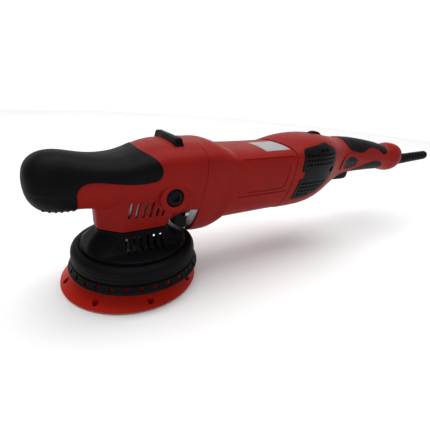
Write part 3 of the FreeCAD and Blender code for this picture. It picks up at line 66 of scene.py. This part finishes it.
class Finish:
    """Small builder for one procedural material, in metres of object space."""

    def __init__(self, name, colour, roughness, metallic=0.0, coat=0.0, coat_roughness=0.3, specular=0.5,
                 sheen=0.0):
        self.material = bpy.data.materials.new(name)
        self.material.use_nodes = True
        self.tree = self.material.node_tree
        self.shader = self.tree.nodes["Principled BSDF"]
        self.colour = colour
        self.roughness = roughness
        self.height = None
        self.set("Base Color", (*colour, 1.0))
        self.set("Roughness", roughness)
        self.set("Metallic", metallic)
        self.set("Coat Weight", coat)
        self.set("Coat Roughness", coat_roughness)
        self.set("Specular IOR Level", specular)
        self.set("Sheen Weight", sheen)
        self.material.diffuse_color = (*colour, 1.0)
        self.place = self.tree.nodes.new("ShaderNodeTexCoord").outputs["Object"]

    def set(self, socket, value):
        self.shader.inputs[socket].default_value = value

    def link(self, source, target):
        self.tree.links.new(source, target)

    def stretched(self, stretch):
        mapping = self.tree.nodes.new("ShaderNodeMapping")
        mapping.inputs["Scale"].default_value = stretch
        self.link(self.place, mapping.inputs["Vector"])
        return mapping.outputs["Vector"]

    def noise(self, size, detail=3.0, stretch=(1, 1, 1)):
        """Noise whose blobs are about size metres across."""
        node = self.tree.nodes.new("ShaderNodeTexNoise")
        node.inputs["Scale"].default_value = 1.0 / size
        node.inputs["Detail"].default_value = detail
        self.link(self.stretched(stretch), node.inputs["Vector"])
        return node.outputs["Fac"]

    def cells(self, size):
        """Distance to the middle of cells about size metres across."""
        node = self.tree.nodes.new("ShaderNodeTexVoronoi")
        node.inputs["Scale"].default_value = 1.0 / size
        self.link(self.place, node.inputs["Vector"])
        return node.outputs["Distance"]

    def bands(self, size, direction):
        """Stripes size metres apart, a little uneven."""
        node = self.tree.nodes.new("ShaderNodeTexWave")
        node.bands_direction = direction
        node.inputs["Scale"].default_value = WAVE_REPEAT / size
        node.inputs["Distortion"].default_value = 0.4
        self.link(self.place, node.inputs["Vector"])
        return node.outputs["Fac"]

    def ranged(self, source, low, high):
        """Stretch a noise over the range from low to high."""
        node = self.tree.nodes.new("ShaderNodeMapRange")
        node.inputs["From Min"].default_value = NOISE_LOW
        node.inputs["From Max"].default_value = NOISE_HIGH
        node.inputs["To Min"].default_value = low
        node.inputs["To Max"].default_value = high
        self.link(source, node.inputs["Value"])
        return node.outputs["Result"]

    def tint(self, source, darker, lighter):
        """Vary the colour between a darker and a lighter share of itself."""
        node = self.tree.nodes.new("ShaderNodeMix")
        node.data_type = "RGBA"
        node.inputs["A"].default_value = (*[c * darker for c in self.colour], 1.0)
        node.inputs["B"].default_value = (*[min(1.0, c * lighter) for c in self.colour], 1.0)
        self.link(self.ranged(source, 0.0, 1.0), node.inputs["Factor"])
        self.link(node.outputs["Result"], self.shader.inputs["Base Color"])

    def polish(self, source, spread):
        """Vary the roughness by the spread either way."""
        low, high = self.roughness - spread, self.roughness + spread
        self.link(self.ranged(source, low, high), self.shader.inputs["Roughness"])

    def bump(self, source, depth, strength=1.0):
        """Add a layer of relief, depth metres deep."""
        node = self.tree.nodes.new("ShaderNodeBump")
        node.inputs["Distance"].default_value = depth
        node.inputs["Strength"].default_value = strength
        self.link(source, node.inputs["Height"])
        if self.height is not None:
            self.link(self.height, node.inputs["Normal"])
        self.height = node.outputs["Normal"]
        self.link(self.height, self.shader.inputs["Normal"])


def red_plastic():
    """Satin moulded housing plastic with a fine spark-eroded grain."""
    finish = Finish("red_plastic", (0.255, 0.0110, 0.0085), 0.44, specular=0.05, coat_roughness=0.35)
    finish.tint(finish.noise(0.030), 0.94, 1.05)
    finish.polish(finish.noise(0.006, 4.0), 0.035)
    finish.bump(finish.noise(0.00045, 2.0), 0.000018)
    finish.bump(finish.noise(0.020, 1.0), 0.00010, 0.5)
    return finish.material


def plate_urethane():
    """Smooth flexible urethane of the backing plate."""
    finish = Finish("plate_urethane", (0.46, 0.014, 0.006), 0.40, specular=0.08)
    finish.tint(finish.noise(0.018), 0.92, 1.06)
    finish.polish(finish.noise(0.004, 4.0), 0.05)
    finish.bump(finish.noise(0.0009, 3.0), 0.00002)
    return finish.material


def hook_fabric():
    """Dense moulded hooks on a dark backing."""
    finish = Finish("hook_fabric", (0.035, 0.035, 0.037), 0.85, specular=0.2, sheen=0.3)
    finish.tint(finish.noise(0.0012), 0.6, 1.6)
    finish.polish(finish.noise(0.003), 0.08)
    finish.bump(finish.cells(0.0011), 0.0006)
    return finish.material


def black_rubber():
    """Matte overmoulded rubber with a soft skin."""
    finish = Finish("black_rubber", (0.0042, 0.0040, 0.0050), 0.50, specular=0.05)
    finish.tint(finish.noise(0.025), 0.85, 1.2)
    finish.polish(finish.noise(0.008, 4.0), 0.05)
    finish.bump(finish.noise(0.00055, 2.0), 0.00003)
    finish.bump(finish.noise(0.012, 1.0), 0.00010, 0.5)
    return finish.material


def black_plastic():
    """Fine-grained black nylon."""
    finish = Finish("black_plastic", (0.0050, 0.0050, 0.0058), 0.46, specular=0.07)
    finish.tint(finish.noise(0.015), 0.85, 1.2)
    finish.polish(finish.noise(0.004, 4.0), 0.05)
    finish.bump(finish.noise(0.0004, 2.0), 0.00002)
    return finish.material


def cast_aluminium():
    """Die-cast aluminium with a sandy skin."""
    finish = Finish("cast_aluminium", (0.42, 0.43, 0.45), 0.48, metallic=1.0)
    finish.tint(finish.noise(0.006, 5.0), 0.85, 1.1)
    finish.polish(finish.noise(0.002, 4.0), 0.08)
    finish.bump(finish.noise(0.0006, 4.0), 0.00005)
    return finish.material


def steel():
    """Turned steel with fine rings of tool marks."""
    finish = Finish("steel", (0.46, 0.46, 0.47), 0.30, metallic=1.0)
    finish.tint(finish.noise(0.004, 4.0), 0.88, 1.08)
    finish.polish(finish.noise(0.0015, 4.0), 0.07)
    finish.bump(finish.noise(0.0004, 3.0, (1, 1, 12)), 0.000008)
    return finish.material


def lamination_steel():
    """Stack of half-millimetre sheets."""
    finish = Finish("lamination_steel", (0.20, 0.20, 0.22), 0.45, metallic=1.0)
    layers = finish.bands(0.0005, "X")
    finish.tint(layers, 0.75, 1.1)
    finish.polish(finish.noise(0.003), 0.06)
    finish.bump(layers, 0.00004)
    return finish.material


def copper_wire():
    """Varnished magnet wire."""
    finish = Finish("copper_wire", (0.42, 0.13, 0.045), 0.32, metallic=0.8, coat=0.6, coat_roughness=0.2)
    strands = finish.bands(0.0008, "X")
    finish.tint(strands, 0.65, 1.1)
    finish.polish(finish.noise(0.003), 0.06)
    finish.bump(strands, 0.0002)
    return finish.material


def brass_part():
    """Stamped brass and commutator copper."""
    finish = Finish("brass_part", (0.56, 0.34, 0.12), 0.34, metallic=1.0)
    finish.tint(finish.noise(0.004, 4.0), 0.85, 1.05)
    finish.polish(finish.noise(0.002), 0.07)
    finish.bump(finish.noise(0.0005, 3.0), 0.00001)
    return finish.material


def carbon():
    """Pressed carbon of the brushes."""
    finish = Finish("carbon", (0.022, 0.022, 0.024), 0.6, specular=0.5)
    finish.tint(finish.noise(0.001, 4.0), 0.7, 1.5)
    finish.polish(finish.noise(0.001), 0.08)
    finish.bump(finish.noise(0.0004, 4.0), 0.00003)
    return finish.material


def silver_label():
    """Blank metallised foil sticker."""
    finish = Finish("silver_label", (0.34, 0.34, 0.34), 0.42, metallic=0.15, specular=0.2)
    finish.tint(finish.noise(0.012), 0.93, 1.05)
    finish.polish(finish.noise(0.004), 0.05)
    finish.bump(finish.noise(0.0012, 3.0), 0.00001)
    return finish.material


def board_green():
    """Lacquered circuit board."""
    finish = Finish("board_green", (0.02, 0.11, 0.05), 0.35, coat=0.4, coat_roughness=0.2)
    finish.tint(finish.cells(0.003), 0.7, 1.2)
    finish.polish(finish.noise(0.003), 0.06)
    finish.bump(finish.noise(0.001), 0.00003)
    return finish.material


MATERIALS = {build.__name__: build() for build in (
    red_plastic, plate_urethane, hook_fabric, black_rubber, black_plastic, cast_aluminium, steel,
    lamination_steel, copper_wire, brass_part, carbon, silver_label, board_green)}


def dress(thing, name):
    thing.data.materials.clear()
    thing.data.materials.append(MATERIALS[name])


for part in frame["record"]["subparts"]:
    dress(nodes[part["node"]], part["material_slot"])


# --------------------------------------------------------------------------------------------
# Floor and light
# --------------------------------------------------------------------------------------------
FLOOR_REACH = 1.45                        # radius of the floor
FLOOR_STEP = 5                            # degrees between its corners
STUDIO_DIM, WALL_BRIGHT = 0.25, 1.05      # strength of the world round the tool, and of its white wall


def add_floor():
    """Plain pale floor, far larger than the tool."""
    turns = [math.radians(turn) for turn in range(0, 360, FLOOR_STEP)]
    corners = [(FLOOR_REACH * math.cos(turn), FLOOR_REACH * math.sin(turn), 0) for turn in turns]
    mesh = bpy.data.meshes.new("floor")
    mesh.from_pydata(corners, [], [tuple(range(len(corners)))])
    floor = bpy.data.objects.new("floor", mesh)
    scene.collection.objects.link(floor)
    finish = Finish("floor", (0.97, 0.97, 0.97), 0.8, specular=0.1)
    finish.tint(finish.noise(0.5), 0.99, 1.01)
    mesh.materials.append(finish.material)


def add_light(name, place, target, size, power):
    data = bpy.data.lights.new(name, "AREA")
    data.shape = "DISK"
    data.size = size
    data.energy = power
    lamp = bpy.data.objects.new(name, data)
    lamp.location = place
    lamp.rotation_euler = (Vector(target) - Vector(place)).to_track_quat("-Z", "Y").to_euler()
    scene.collection.objects.link(lamp)


def ramp(tree, source, start, end):
    """Smooth rise from 0 to 1 as the source goes from start to end."""
    node = tree.nodes.new("ShaderNodeMapRange")
    node.interpolation_type = "SMOOTHSTEP"
    node.inputs["From Min"].default_value = start
    node.inputs["From Max"].default_value = end
    tree.links.new(source, node.inputs["Value"])
    return node.outputs["Result"]


def add_world():
    """Dim studio all round, with a soft white wall on the tool's far side that ends low down."""
    world = bpy.data.worlds.new("studio")
    world.use_nodes = True
    tree = world.node_tree
    direction = tree.nodes.new("ShaderNodeTexCoord").outputs["Generated"]
    away = Vector((CAMERA_LOOK.x, CAMERA_LOOK.y, 0)).normalized()
    along = tree.nodes.new("ShaderNodeVectorMath")
    along.operation = "DOT_PRODUCT"
    along.inputs[1].default_value = away
    tree.links.new(direction, along.inputs[0])
    height = tree.nodes.new("ShaderNodeSeparateXYZ")
    tree.links.new(direction, height.inputs["Vector"])
    ahead = ramp(tree, along.outputs["Value"], 0.15, 0.55)
    low = ramp(tree, height.outputs["Z"], 0.62, 0.40)
    wall = tree.nodes.new("ShaderNodeMath")
    wall.operation = "MULTIPLY"
    tree.links.new(ahead, wall.inputs[0])
    tree.links.new(low, wall.inputs[1])
    strength = tree.nodes.new("ShaderNodeMapRange")
    strength.inputs["To Min"].default_value = STUDIO_DIM
    strength.inputs["To Max"].default_value = WALL_BRIGHT
    tree.links.new(wall.outputs["Value"], strength.inputs["Value"])
    background = tree.nodes["Background"]
    background.inputs["Color"].default_value = (1.0, 1.0, 1.0, 1.0)
    tree.links.new(strength.outputs["Result"], background.inputs["Strength"])
    scene.world = world


add_floor()
add_world()
middle = (0.12, 0.0, 0.08)
add_light("key", (0.15, 0.25, 2.3), middle, 2.6, 60.0)
add_light("fill", (-0.9, -1.4, 0.9), middle, 1.0, 3.0)
